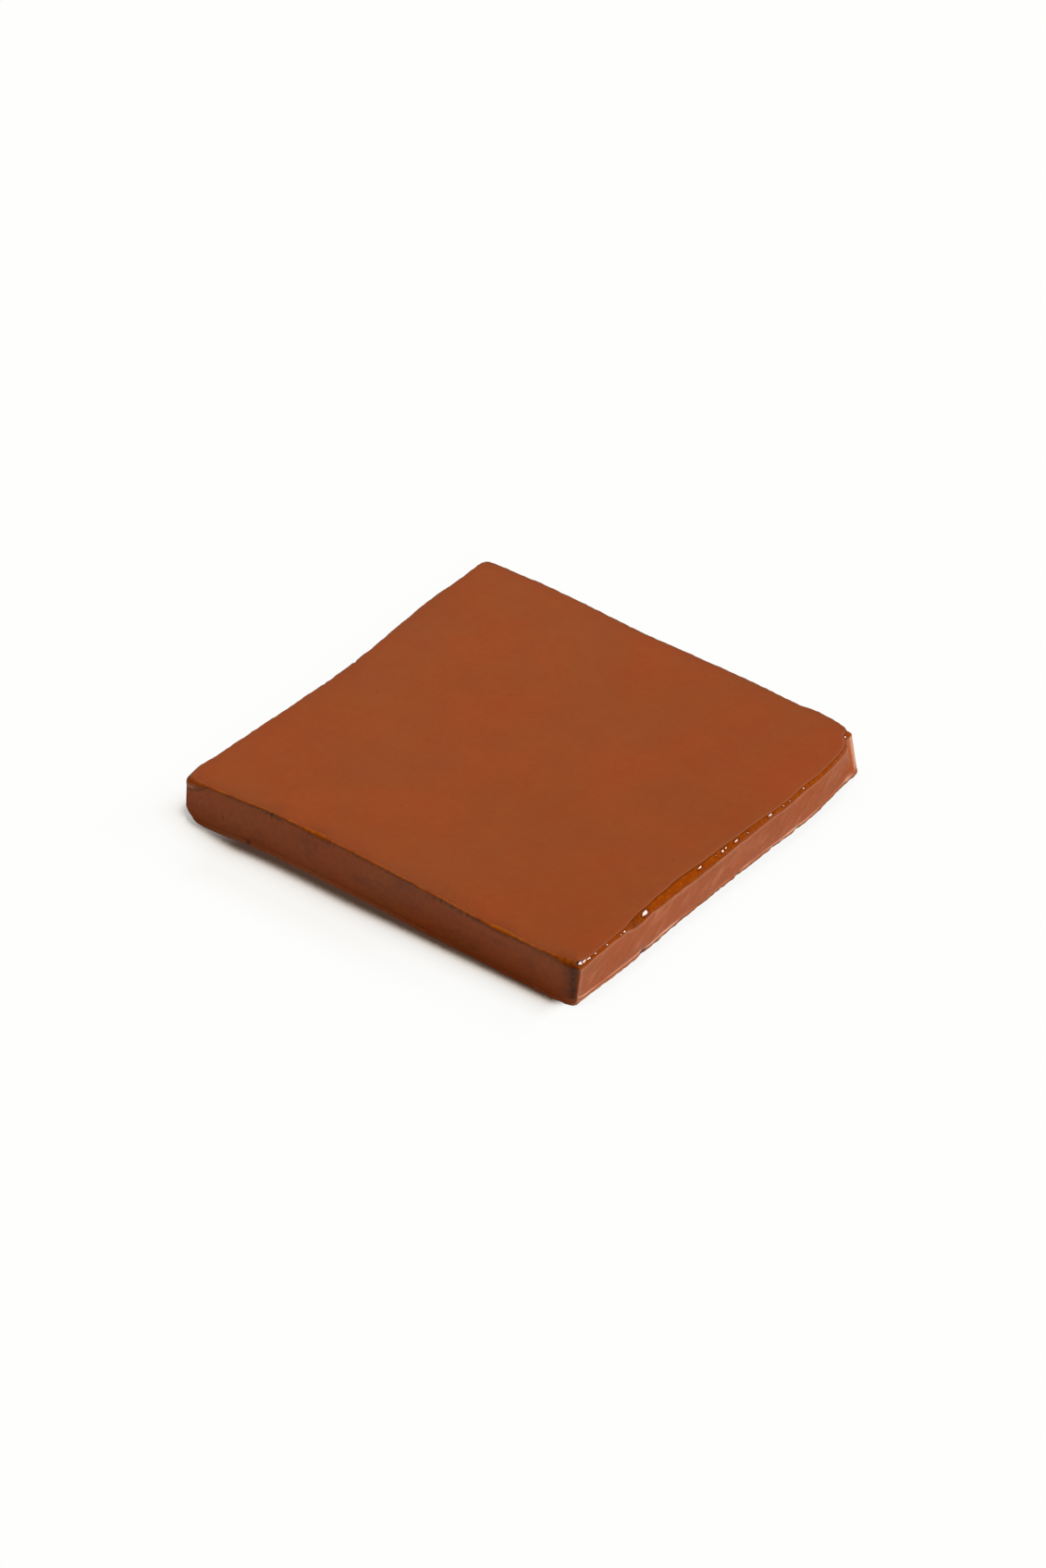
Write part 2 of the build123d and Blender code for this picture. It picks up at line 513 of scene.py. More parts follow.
# Small chips and nicks: the place right, back and up, the reach and the depth.
chips = (
    (50.8, 24.0, 0.5, 0.7, 0.30),
    (50.8, 15.5, 0.4, 0.6, 0.28),
    (50.5, 3.5, 0.4, 0.8, 0.30),
    (50.3, -1.8, 0.4, 0.6, 0.25),
    (49.6, -28.3, 0.9, 1.3, 0.35),
    (-35.6, -49.9, 1.1, 0.7, 0.24),
    (-27.4, -49.3, 10.5, 0.4, 0.12),
    (34.4, -50.3, 10.9, 0.4, 0.12),
    (48.5, -50.1, 9.0, 0.40, 0.15),
    (47.9, -50.2, 9.6, 0.35, 0.12),
    (48.5, -50.0, 7.3, 0.35, 0.14),
    (48.0, -50.1, 6.1, 0.30, 0.10),
    (48.4, -49.9, 4.6, 0.40, 0.15),
    (48.1, -49.8, 2.6, 0.40, 0.14),
    (-49.7, 2.7, 11.1, 0.45, 0.22),
    (-49.3, -2.2, 11.1, 0.40, 0.22),
    (-49.6, -7.4, 11.1, 0.40, 0.20),
)
darkened_share = 0.8     # how much of a chip's reach is darkened
chip_mask = np.zeros(wrap_x.shape)
for x, y, z, reach, depth in chips:
    apart = np.sqrt((wrap_x - x) ** 2 + (wrap_y - y) ** 2 + (wrap_z - z) ** 2)
    push -= depth * hump(apart, 0, reach)
    chip_mask = np.maximum(chip_mask, hump(apart, 0, darkened_share * reach))

# At the front left corner the glaze lapped over the side and wrinkled below the lap.
# The wrinkles are broken rings round one place, with a few more arcs to the right of them.
ring_x = -46.6
ring_z = 5.6
ring_squash = 0.8       # how much height counts beside width, so the rings are a little tall
ring_waver = 0.9        # how far the rings stray from round
ring_span = 1.2         # from crest to crest
inner_rings = (1.2, 1.0)    # how far out the rings are strongest, and how wide the strip is
outer_rings = (4.6, 1.3)
outer_share = 0.9
arcs_from = (-45.5, -43.0)  # the outer ones are only arcs on the right
ring_mean = 0.25        # how much of the rings is there on average, before they are broken up
ring_contrast = 2.0
wrinkle_height = 0.12
lap_start = 9.0         # how high the edge of the lap is on the left
lap_rise = 2.0          # how much higher it runs on the right
lap_climb = (-49.4, -45.6)
lap_ripple = 0.2
lap_ripple_turn = 1.9   # in radians per millimetre
lap_right_end = (-46.2, -45.2)
lap_back_end = (47.5, 49.5)
lap_top = (10.2, 11.2)
lap_step = (-0.08, 0.22)    # from just below the lap's edge to just above it
lap_thick = 0.14
lap_groove = 0.12
lap_groove_drop = 0.12
lap_groove_reach = 0.20
across_x, across_z = wrap_x - ring_x, (wrap_z - ring_z) * ring_squash
ring_place = np.sqrt(across_x**2 + across_z**2) + ring_waver * grain(wrap, 1.9 * mm, seed=3.3)
outer_arcs = outer_share * hump(ring_place, *outer_rings) * ramp(wrap_x, *arcs_from)
ring_zone = hump(ring_place, *inner_rings) + outer_arcs
ring_breaks = np.clip(ring_mean + ring_contrast * grain(wrap, 1.5 * mm, seed=12.1), 0, 1)
wrinkles = facing["front"] * on_side * ring_zone * ring_breaks * np.sin(ring_place * tau / ring_span)
push += wrinkle_height * wrinkles
lap_edge = lap_start + lap_rise * ramp(wrap_x, *lap_climb)
lap_edge = lap_edge + lap_ripple * np.sin(wrap_x * lap_ripple_turn)
lap_zone = (1 - ramp(wrap_x, *lap_right_end)) * ramp(-wrap_y, *lap_back_end)
lap_swell = ramp(wrap_z - lap_edge, *lap_step) * (1 - ramp(wrap_z, *lap_top))
push += lap_thick * lap_zone * lap_swell
lap_line = lap_zone * hump(wrap_z, lap_edge - lap_groove_drop, lap_groove_reach)
push -= lap_groove * lap_line
wrap = wrap + normals_of(wrap) * (push * mm)[:, :, None]

# Drops of glaze stopped along the right arris and set as flat lenses that catch the light.
# Each has its place along the side, its height, its half length and its half width.
# They face midway between the softbox and the camera, which is how they come to glint.
drops = (
    (-48.6, 11.02, 0.42, 0.34),
    (-46.3, 11.02, 0.46, 0.16),
    (-44.4, 10.98, 0.30, 0.13),
    (-40.7, 10.89, 0.26, 0.18),
    (-36.5, 10.73, 0.26, 0.17),
    (-35.4, 10.75, 0.34, 0.20),
    (-28.0, 10.55, 0.78, 0.45),
    (-9.5, 10.50, 0.58, 0.26),
    (-4.3, 10.61, 0.24, 0.18),
    (-2.2, 10.52, 0.42, 0.32),
    (-1.1, 10.58, 0.32, 0.26),
    (2.1, 10.59, 0.60, 0.22),
    (5.8, 10.48, 0.28, 0.20),
    (13.0, 10.94, 0.58, 0.22),
    (17.0, 10.99, 0.28, 0.17),
    (19.1, 11.05, 0.28, 0.18),
    (24.4, 11.04, 0.34, 0.18),
    (44.4, 11.05, 0.34, 0.30),
)
drop_facing = np.array([0.644, -0.218, 0.734])
drop_facing /= np.linalg.norm(drop_facing)
drop_height = 0.05
drop_dome = 0.045
drop_skirt = 1.55       # how far out, in half widths, the drop meets the glaze round it
# Round each drop a dark rim is painted into the glaze, as shade.
rim_place = 1.45        # the dark rim round the drop
rim_reach = 0.34
far_off = 10            # keeps the drops away from places that are not on the right arris
painted_drop_rim = np.zeros(wrap_x.shape)
elsewhere = far_off * (1 - facing["right"] * on_roll)
for place, height, half_length, half_width in drops:
    offset = np.hypot(wrap_y - place, wrap_z - height) + elsewhere
    row, station = np.unravel_index(np.argmin(offset), offset.shape)
    apart = (wrap - wrap[row, station]) / mm
    depth = apart @ drop_facing
    lengthwise = np.append(along[station], 0) - drop_facing * (np.append(along[station], 0) @ drop_facing)
    lengthwise /= np.linalg.norm(lengthwise)
    crosswise = np.cross(drop_facing, lengthwise)
    reach = np.hypot(apart @ lengthwise / half_length, apart @ crosswise / half_width)
    close_by = np.linalg.norm(apart, axis=2) < 3 * half_length
    held = (1 - ramp(reach, 1.0, drop_skirt)) * close_by
    rise = drop_height - drop_dome * half_width * reach**2 - depth
    wrap += drop_facing * (rise * held * mm)[:, :, None]
    painted_drop_rim = np.maximum(painted_drop_rim, hump(reach, rim_place, rim_reach) * close_by)

# The skin of the tile is one closed mesh: the wrap, the face inside it and the underside.
# Both are filled with rings of fewer and fewer stations towards the middle.
# For each stretch of rings: where one with a quarter of the stations lies, the next ring and the last.
ring_stretches = ((0.97, 0.94, 0.56), (0.53, 0.50, 0.20), (0.17, 0.14, 0.04))
face_rings = (14, 10, 4)
underside_rings = (8, 4, 2)
thinning = 4
points = [wrap.reshape(-1, 3)]
faces = []
first_of_row = [row * station_count for row in range(len(wrap))]
for row in range(len(wrap) - 1):
    lower, upper = first_of_row[row], first_of_row[row + 1]
    for index in range(station_count):
        after = (index + 1) % station_count
        faces.append((lower + index, lower + after, upper + after, upper + index))


def ring_steps(counts):
    """How far each ring lies from the middle, and whether it has a quarter of the stations."""
    steps = []
    for (thinned, following, last), count in zip(ring_stretches, counts):
        steps.append((thinned, True))
        steps += [(share, False) for share in np.linspace(following, last, count)]
    return steps


def fill(first, rim, level, steps, downward):
    """Rings of faces that close a hole, from its rim to its middle."""
    count = len(rim)
    made = sum(len(block) for block in points)
    for share, fewer in steps:
        if fewer:
            rim = rim[::thinning]
        places = centre + (rim - centre) * share
        points.append(np.column_stack([places, level(places)]))
        per = count // len(rim)
        for index in range(len(rim)):
            after = (index + 1) % len(rim)
            outer = [first + (index * per + step) % count for step in range(per + 1)]
            loop = outer + [made + after, made + index]
            faces.append(tuple(reversed(loop)) if downward else tuple(loop))
        first, count = made, len(rim)
        made += len(rim)
    points.append(np.column_stack([centre[None], level(centre[None])]))
    for index in range(count):
        loop = (first + index, first + (index + 1) % count, made)
        faces.append(tuple(reversed(loop)) if downward else loop)


def underside_level(places):
    """The height of the bare underside at each place."""
    return np.array([touch((x, y, lowest.z - length), (0, 0, 1))[2] for x, y in places])


fill(first_of_row[-1], wrap[-1][:, :2], face_level, ring_steps(face_rings), downward=False)
face_end = sum(len(block) for block in points)
fill(first_of_row[0], wrap[0][:, :2], underside_level, ring_steps(underside_rings), downward=True)
skin = np.clip(np.vstack(points), np.array(lowest), np.array(highest))
mesh = bpy.data.meshes.new("tile_skin")
mesh.from_pydata(skin.tolist(), [], faces)
mesh.shade_smooth()
tile = bpy.data.objects.new("glazed_tile", mesh)
bpy.context.scene.collection.objects.link(tile)
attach(tile, "root")
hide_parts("tile")


# What the glaze looks like where: amber, glowing, torn, darkened by dark seams and painted shade, paler
# with painted highlights, or not there at all.
# Each of these is kept on the skin as a value from 0 to 1, and so is which side a place is on.
def mark(name, wrap_values, beyond=0.0, below=0.0):
    """Keeps a value at each point of the skin; beyond is for the face, and below for the underside."""
    values = np.full(len(skin), beyond)
    values[: wrap_values.size] = wrap_values.ravel()
    values[face_end:] = below
    layer = mesh.attributes.new(name, "FLOAT", "POINT")
    layer.data.foreach_set("value", values.astype(np.float32))


# The amber band, and the glow of thin glaze along the front arris.
# Neither of them reaches round the lapped corner at the front left.
lapped_corner = (-50.3, -49.6)
front_amber = 0.7
back_amber = 0.35
facet_amber = 0.4
corner_loss = 1.2
back_glow = 0.35
on_band = (row_index >= first_roll) & (row_index <= last_roll)
amber = facing["right"] + front_amber * facing["front"] + back_amber * behind
amber = amber - corner_loss * near(*lapped_corner, 3.4) + facet_amber * corner_facet
mark("amber", np.clip(amber, 0, 1) * on_band)
glow = facing["front"] * broken_line(0.55, (0.9, 3.0, 5.5), (1.1, 0.8, 1.9))
glow = glow * (1 - near(*lapped_corner, 4.0)) + back_glow * behind
mark("glow", glow * on_band * hump(roll_share, 0.75, 0.30))

# Dark lines, of which the darkest shows at each place, and soft shades, which add up on top of it.
# The dark lines are the torn seam, the darkened chips, the darker rims of the amber band, and painted
# shade in the ripples' valleys, in the lap's groove and round each drop.
# The soft shades are painted shade along the face's border by the arris, in the wrinkles' troughs, low on
# the right foot and beside the upright arris, with darker patches on the front right facets, the back
# arris and the torn upright arris.
# The number before each zone says how dark it is there.
band_rims = ((0.94, 0.10, 0.62), (0.03, 0.06, 0.40))    # share of the roll, reach and darkness
# The ripples' valleys are painted darker, as shade.
painted_valley_shade = ripples * (0.20 + np.clip(-ripple_wave, 0, 0.8))
dark_lines = (
    (1.00, on_band * facing["right"] * humps(roll_share, band_rims)),
    (1.00, painted_valley_shade),
    (0.90, painted_drop_rim),
    (1.00, 0.90 * tear_mask + 0.75 * seam_mask),
    (0.80, chip_mask),
    (0.80, lap_line),
)
# The face is painted darker along its border by the arris, as shade.
shoulder_row = np.clip(row_index - last_roll, 0, len(shoulder_steps))
fading = np.where(shoulder_row > 0, 1 - shoulder_row / len(shoulder_steps), 0)
upright_arris = np.clip(1.6 * facing["front"], 0, 1) * near(48.4, -50.0, 0.8) * on_side
# Beside the upright arris the front is painted darker, as shade.
painted_shade_beside_arris = facing["front"] * near(47.4, -50.1, 1.6) * on_side
# Low on the right foot, where the lip is single, the glaze is painted darker, as shade.
single_lip = facing["right"] * (1 - double_lip)
soft_shades = (
    (0.12, behind * fading),
    (0.20, facing["front"] * fading),
    (0.25, facing["front"] * np.clip(pools, 0, 1) * fading),
    (0.30, front_right_facet * on_roll),
    (0.25, corner_facet * on_roll),
    (0.50, facing["back"] * on_band * hump(roll_share, 0.70, 0.28)),
    (0.18, np.clip(-wrinkles, 0, 1)),
    (0.70, single_lip * (1 - ramp(above_foot, 0.80, 1.0))),
    (0.45, upright_arris),
    (0.35, painted_shade_beside_arris),
)
darkest = np.maximum.reduce([darkness * zone for darkness, zone in dark_lines])
shades = sum(darkness * zone for darkness, zone in soft_shades)
mark("dark", np.clip(darkest + shades, 0, 1))
mark("torn", np.clip(tear_zone * (0.35 + tears) + 0.9 * upright_arris, 0, 1))

# Pale marks: painted highlights, of which the brightest shows at each place, and soft paler washes, which
# add up on top of it.
# The highlights are painted as a broken line along the lip of the foot on the right, low on the double
# lip, and low on the front.
# The washes are paler strips below the amber band, just inside it on the face, below the beak and at the
# back right foot, and painted highlights on the lap and on the wrinkles' crests.
# The number before each zone says how pale it is there.
lip_highlight_height = foot_lip + 0.50 - 0.32 * double_lip
lip_highlight_stretch = (1 - ramp(plan_y, -19, -14)) + ramp(plan_y, 2, 8) * (1 - ramp(plan_y, 28, 38))
lip_highlight_breaks = broken_line(0.65, (1.1, 5.0, 4.8)) * np.clip(lip_highlight_stretch, 0.25, 1)
below_beak = near(49.6, 46.2, 0.45) * on_side
back_right_foot = facing["right"] * near(50.8, 43.6, 1.5) * (1 - ramp(wrap_z, 1.2, 3.2))
# Above the edge of the lap a highlight is painted.
painted_highlight_above_lap = lap_zone * hump(wrap_z, lap_edge + 0.6, 0.5) * (1 - ramp(wrap_x, -49.6, -48.2))
pale_lines = (
    (1.00, facing["right"] * lip_highlight_breaks * hump(above_foot, lip_highlight_height, 0.19)),
    (0.45, facing["right"] * double_lip * (1 - ramp(above_foot, 0.5, 1.1))),
    (0.45, facing["front"] * hump(above_foot, 0.25, 0.14)),
)
pale_washes = (
    (0.15, facing["right"] * hump(wrap_z, below_edge - 0.45, 0.38)),
    (0.12, facing["right"] * hump(row_index, last_roll + 1.5, 1.0)),
    (0.80, below_beak),
    (0.60, back_right_foot),
    (0.35, painted_highlight_above_lap),
    (0.10, np.clip(wrinkles, 0, 1)),
)
palest = np.maximum.reduce([paleness * zone for paleness, zone in pale_lines])
washes = sum(paleness * zone for paleness, zone in pale_washes)
mark("pale", np.clip(palest + washes, 0, 1))

# The glaze ends in an uneven line at the foot, and the clay below it is bare.
bare_share = 0.40       # how much of the lip is bare
bare_waver = 0.12
bare_border = (-0.10, 0.12)     # from just below the line to just above it
bare_line = bare_share * foot_lip + bare_waver * grain(outline, 2 * mm, seed=6.6)
mark("bare", 1 - ramp(above_foot - bare_line, *bare_border), below=1.0)
mark("side", on_side * np.ones(wrap_x.shape))
mark("right", facing["right"] * on_side)
mark("front", facing["front"] * on_side)

# The glaze is a clear amber one over red clay, fired glossy, so the clay glows warm through it.
# It is mottled very faintly, deeper where it gathers on the arris, and absent from the foot.
warm_glaze = (0.325, 0.053, 0.0032, 1)
cool_glaze = (0.296, 0.057, 0.0055, 1)
thick_glaze = (0.245, 0.040, 0.0008, 1)
bright_glaze = (0.295, 0.058, 0.0020, 1)
glowing_glaze = (0.385, 0.088, 0.0030, 1)
# The paler streaks on the right side paint a sheen.
sheen_streak_glaze = (0.400, 0.110, 0.0450, 1)
smeared_glaze = (0.190, 0.040, 0.0080, 1)
# This pale colour paints the highlights and the paler washes.
highlight_and_pale_glaze = (0.650, 0.330, 0.2100, 1)
# This dark colour paints the torn seam and the chips, and painted shade.
seam_and_painted_shade_glaze = (0.070, 0.014, 0.0010, 1)
speck_colour = (0.150, 0.035, 0.0080, 1)
clay_colour = (0.430, 0.160, 0.0600, 1)
torn_clay = (0.075, 0.038, 0.0090, 1)
brighter = (1.012, 1.050, 1.08, 1)      # the glaze is multiplied by these, to vary it a little
dimmer = (0.988, 0.950, 0.92, 1)
lighter_left = (1.055, 1.12, 1.30, 1)
deeper_right = (0.948, 0.955, 0.89, 1)
rubbed_light = (1.08, 1.09, 1.10, 1)
rubbed_dark = (0.92, 0.91, 0.90, 1)
glaze_gloss = 0.10      # roughness
clay_gloss = 0.75
peel_depth = 0.004 * mm
scratch_depth = 0.04 * mm
glaze = bpy.data.materials.new("amber_glaze")
glaze.use_nodes = True
mesh.materials.append(glaze)
nodes, links = glaze.node_tree.nodes, glaze.node_tree.links
shader = nodes["Principled BSDF"]


def add_node(kind, **settings):
    """A new node of the material or world in hand, with its settings."""
    node = nodes.new(kind)
    for name, value in settings.items():
        setattr(node, name, value)
    return node


def join(value, socket):
    """Gives a socket a value, which is a link or a plain number or colour."""
    if isinstance(value, bpy.types.NodeSocket):
        links.new(value, socket)
    else:
        socket.default_value = value


def read_mark(name):
    """The value that mark kept under this name."""
    return add_node("ShaderNodeAttribute", attribute_name=name).outputs["Fac"]


def blend(share, first, second, mode="MIX"):
    """Two colours mixed; each is a colour or a link, and so is the share of the second."""
    node = add_node("ShaderNodeMix", data_type="RGBA", blend_type=mode)
    join(share, node.inputs[0])
    join(first, node.inputs[6])
    join(second, node.inputs[7])
    return node.outputs[2]


def tinted(colour, tint):
    """A colour multiplied by a tint."""
    return blend(1.0, colour, tint, "MULTIPLY")


def calculate(operation, *values):
    """The outcome of one sum; each value is a number or a link."""
    node = add_node("ShaderNodeMath", operation=operation)
    for socket, value in zip(node.inputs, values):
        join(value, socket)
    return node.outputs[0]


def climb(value, low, high, start=0.0, end=1.0):
    """A smooth climb from start at low to end at high."""
    node = add_node("ShaderNodeMapRange", interpolation_type="SMOOTHSTEP")
    node.inputs["From Min"].default_value = low
    node.inputs["From Max"].default_value = high
    node.inputs["To Min"].default_value = start
    node.inputs["To Max"].default_value = end
    links.new(value, node.inputs["Value"])
    return node.outputs["Result"]


def patches(size, detail, low, high, stretch=(1, 1, 1), lean=0.0):
    """Soft random patches of about this size, from 0 at low to 1 at high."""
    place = add_node("ShaderNodeTexCoord").outputs["Object"]
    squeeze = add_node("ShaderNodeMapping", vector_type="TEXTURE")
    squeeze.inputs["Scale"].default_value = stretch
    squeeze.inputs["Rotation"].default_value = (lean, 0, 0)
    links.new(place, squeeze.inputs["Vector"])
    noise_node = add_node("ShaderNodeTexNoise")
    noise_node.inputs["Scale"].default_value = 1 / size
    noise_node.inputs["Detail"].default_value = detail
    links.new(squeeze.outputs["Vector"], noise_node.inputs["Vector"])
    reach = add_node("ShaderNodeMapRange")
    reach.inputs["From Min"].default_value = low
    reach.inputs["From Max"].default_value = high
    links.new(noise_node.outputs["Fac"], reach.inputs["Value"])
    return reach.outputs["Result"]


# The face: two tones of glaze in soft patches, a finer mottle, a few specks, and lighter on the left.
mottle = blend(patches(9 * mm, detail=4, low=0.30, high=0.70), brighter, dimmer)
fine_mottle = blend(patches(1.5 * mm, detail=3, low=0.30, high=0.70), brighter, dimmer)
specks = patches(0.7 * mm, detail=1, low=0.76, high=0.82)
across = add_node("ShaderNodeSeparateXYZ")
links.new(add_node("ShaderNodeTexCoord").outputs["Object"], across.inputs["Vector"])
rightward_share = climb(across.outputs["X"], -50 * mm, 50 * mm)
colour = blend(patches(16 * mm, detail=3, low=0.35, high=0.65), warm_glaze, cool_glaze)
colour = tinted(tinted(colour, mottle), fine_mottle)
colour = blend(rightward_share, tinted(colour, lighter_left), tinted(colour, deeper_right))
colour = blend(specks, colour, speck_colour)

# The sides: thin paler streaks of painted sheen that run up the right side, darker smears along the
# front, both rubbed.
fine_streaks = patches(1.3 * mm, detail=3, low=0.44, high=0.80, stretch=(1, 4, 1), lean=0.60)
streaks = calculate("MULTIPLY", fine_streaks, patches(6 * mm, detail=2, low=0.35, high=0.60))
colour = blend(calculate("MULTIPLY", streaks, read_mark("right")), colour, sheen_streak_glaze)
smears = patches(3 * mm, detail=4, low=0.50, high=0.85, stretch=(2, 1, 1))
colour = blend(calculate("MULTIPLY", smears, read_mark("front")), colour, smeared_glaze)
rubbed = blend(patches(0.9 * mm, detail=4, low=0.30, high=0.70), rubbed_light, rubbed_dark)
colour = blend(read_mark("side"), colour, tinted(colour, rubbed))

# The marks kept on the skin come on top, one after the other, with painted highlights in the pale mark
# and painted shade in the dark one.
gathered = blend(patches(0.9 * mm, detail=2, low=0.48, high=0.66), thick_glaze, bright_glaze)
colour = blend(read_mark("amber"), colour, gathered)
colour = blend(read_mark("glow"), colour, glowing_glaze)
colour = blend(read_mark("pale"), colour, highlight_and_pale_glaze)
colour = blend(read_mark("bare"), colour, clay_colour)
torn_specks = patches(0.30 * mm, detail=2, low=0.50, high=0.60, stretch=(1, 1, 2))
colour = blend(calculate("MULTIPLY", torn_specks, read_mark("torn")), colour, torn_clay)
colour = blend(read_mark("dark"), colour, seam_and_painted_shade_glaze)
links.new(colour, shader.inputs["Base Color"])
gloss = add_node("ShaderNodeMapRange")
gloss.inputs["To Min"].default_value = glaze_gloss
gloss.inputs["To Max"].default_value = clay_gloss
links.new(read_mark("bare"), gloss.inputs["Value"])
links.new(gloss.outputs["Result"], shader.inputs["Roughness"])
shader.inputs["IOR"].default_value = 1.5
peel = add_node("ShaderNodeBump")
peel.inputs["Strength"].default_value = 1
peel.inputs["Distance"].default_value = peel_depth
links.new(patches(1.6 * mm, detail=3, low=0, high=1), peel.inputs["Height"])
scratch = add_node("ShaderNodeBump")
scratch.inputs["Strength"].default_value = 1
scratch.inputs["Distance"].default_value = scratch_depth
scratches = patches(1.2 * mm, detail=2, low=0, high=1, stretch=(1, 5, 1), lean=0.50)
links.new(calculate("MULTIPLY", scratches, read_mark("side")), scratch.inputs["Height"])
links.new(peel.outputs["Normal"], scratch.inputs["Normal"])
links.new(scratch.outputs["Normal"], shader.inputs["Normal"])

# The floor is a sheet of white paper, larger than the view, a hair below the foot of the tile.
# The camera sees it bleached, but in front and on the left a soft shadow of the tile is painted on it.
# From below it is see-through, also to what sets out from the foot, so the bare underside can be seen.
floor_half = 1.5
hair = 0.02 * mm
foot_gap = 8 * hair
front_blend = 4 * mm
shadow_fade = (58 * mm, 70 * mm)    # how far from the middle, along X or Y, the shadow fades out
floor_corners = ((-1, -1), (1, -1), (1, 1), (-1, 1))
floor_mesh = bpy.data.meshes.new("paper_sheet")
floor_mesh.from_pydata(
    [(x * floor_half, y * floor_half, lowest.z - hair) for x, y in floor_corners], [], [(0, 1, 2, 3)]
)
floor = bpy.data.objects.new("paper_floor", floor_mesh)
bpy.context.scene.collection.objects.link(floor)
paper = bpy.data.materials.new("white_paper")
paper.use_nodes = True
floor_mesh.materials.append(paper)
nodes, links = paper.node_tree.nodes, paper.node_tree.links
nodes.clear()


def mix_shaders(share, first, second):
    """Two surfaces mixed by a share, which is a number or a link."""
    node = add_node("ShaderNodeMixShader")
    join(share, node.inputs["Fac"])
    links.new(first, node.inputs[1])
    links.new(second, node.inputs[2])
    return node.outputs["Shader"]


path = add_node("ShaderNodeLightPath")
place = add_node("ShaderNodeSeparateXYZ")
links.new(add_node("ShaderNodeTexCoord").outputs["Object"], place.inputs["Vector"])
place_x, place_y = place.outputs["X"], place.outputs["Y"]
toward_front = climb(calculate("ADD", place_x, place_y), -front_blend, front_blend, start=1, end=0)
farthest = calculate("MAXIMUM", calculate("ABSOLUTE", place_x), calculate("ABSOLUTE", place_y))
close = climb(farthest, *shadow_fade, start=1, end=0)

# What the glaze mirrors of the paper is painted with shade: warm and dim by the right side, dimmer
# towards the back, near black farther out to the right, and greyer by the front.
paper_white = (0.8, 0.8, 0.8, 1)
shaded_paper = (0.42, 0.40, 0.38, 1)
mirrored_right = (0.55, 0.42, 0.34, 1)
mirrored_far = (0.34, 0.25, 0.19, 1)
mirrored_beyond = (0.03, 0.02, 0.01, 1)
mirrored_front = (0.34, 0.31, 0.28, 1)
mirrored_lip = (0.22, 0.20, 0.20, 1)
far_stretch = (5 * mm, 50 * mm)         # along the right side, to the back
beyond_stretch = (60 * mm, 74 * mm)     # away from the right side
lip_stretch = (-62 * mm, -52 * mm)      # up to the front side
bounce_stretch = (-68 * mm, -52 * mm)
lit = add_node("ShaderNodeBsdfDiffuse")
rightward = blend(climb(place_y, *far_stretch), mirrored_right, mirrored_far)
rightward = blend(climb(place_x, *beyond_stretch), rightward, mirrored_beyond)
frontward = blend(climb(place_y, *lip_stretch), mirrored_front, mirrored_lip)
mirrored = blend(toward_front, rightward, frontward)
# For the light that bounces off it, the paper is painted shaded close to the front of the tile.
by_front = calculate("MULTIPLY", toward_front, climb(place_y, *bounce_stretch))
bounced = blend(by_front, paper_white, shaded_paper)
links.new(blend(path.outputs["Is Glossy Ray"], bounced, mirrored), lit.inputs["Color"])

# What the camera sees: bleached paper, with a shadow of the tile painted on it by how closed in it is.
bleached_paper = (0.992, 0.991, 0.977, 1)
contact_stops = (
    (0.500, (0.074, 0.040, 0.027, 1)),
    (0.536, (0.105, 0.072, 0.045, 1)),
    (0.548, (0.162, 0.122, 0.080, 1)),
    (0.562, (0.330, 0.275, 0.215, 1)),
    (0.584, (0.604, 0.515, 0.473, 1)),
    (0.615, (0.716, 0.651, 0.591, 1)),
    (0.660, (0.807, 0.760, 0.716, 1)),
    (0.740, (0.896, 0.871, 0.840, 1)),
    (0.850, (0.945, 0.930, 0.905, 1)),
    (1.000, bleached_paper),
)
crevice_reach = 8 * mm
arch_depth = 0.115      # how much deeper the shadow is under the arch
arch_left = (-49 * mm, -36 * mm)
arch_right = (-12 * mm, 34 * mm)
nose_depth = 0.22       # and at the front left corner
nose_place = (-54.5 * mm, -47 * mm)
nose_reach = 9 * mm
shadow_left = (-53 * mm, -47 * mm)
shadow_middle = (-50 * mm, -37 * mm)
shadow_right = (43 * mm, 47.5 * mm)
left_strength = 0.75    # how strong the shadow is at its left end
middle_strength = 0.74
kept_light = 0.04       # how much of the plain lit paper shows through the shadow
faint = 0.07            # how much of the shadow is left on the right and at the back
bleached = add_node("ShaderNodeEmission")
bleached.inputs["Color"].default_value = bleached_paper
crevice = add_node("ShaderNodeAmbientOcclusion", samples=24)
crevice.inputs["Distance"].default_value = crevice_reach
contact = add_node("ShaderNodeValToRGB")
stops = contact.color_ramp.elements
stops[0].position, stops[0].color = contact_stops[0]
stops[1].position, stops[1].color = contact_stops[-1]
for position, tone in contact_stops[1:-1]:
    stops.new(position).color = tone
past_arch = climb(place_x, *arch_right, start=1, end=0)
under_arch = calculate("MULTIPLY", climb(place_x, *arch_left), past_arch)
deepened = calculate("SUBTRACT", crevice.outputs["AO"], calculate("MULTIPLY", under_arch, arch_depth))
from_nose = add_node("ShaderNodeVectorMath", operation="DISTANCE")
from_nose.inputs[1].default_value = (*nose_place, lowest.z - hair)
links.new(add_node("ShaderNodeTexCoord").outputs["Object"], from_nose.inputs[0])
nose_shade = climb(from_nose.outputs["Value"], 0, nose_reach, start=nose_depth, end=0)
links.new(calculate("SUBTRACT", deepened, nose_shade), contact.inputs["Fac"])
shadowed = add_node("ShaderNodeEmission")
links.new(contact.outputs["Color"], shadowed.inputs["Color"])
near_floor = mix_shaders(kept_light, shadowed.outputs[0], lit.outputs[0])
left_end = climb(place_x, *shadow_left, start=left_strength, end=1)
left_stretch = climb(place_x, *shadow_middle, start=middle_strength, end=1)
from_corner = calculate("MULTIPLY", left_end, left_stretch)
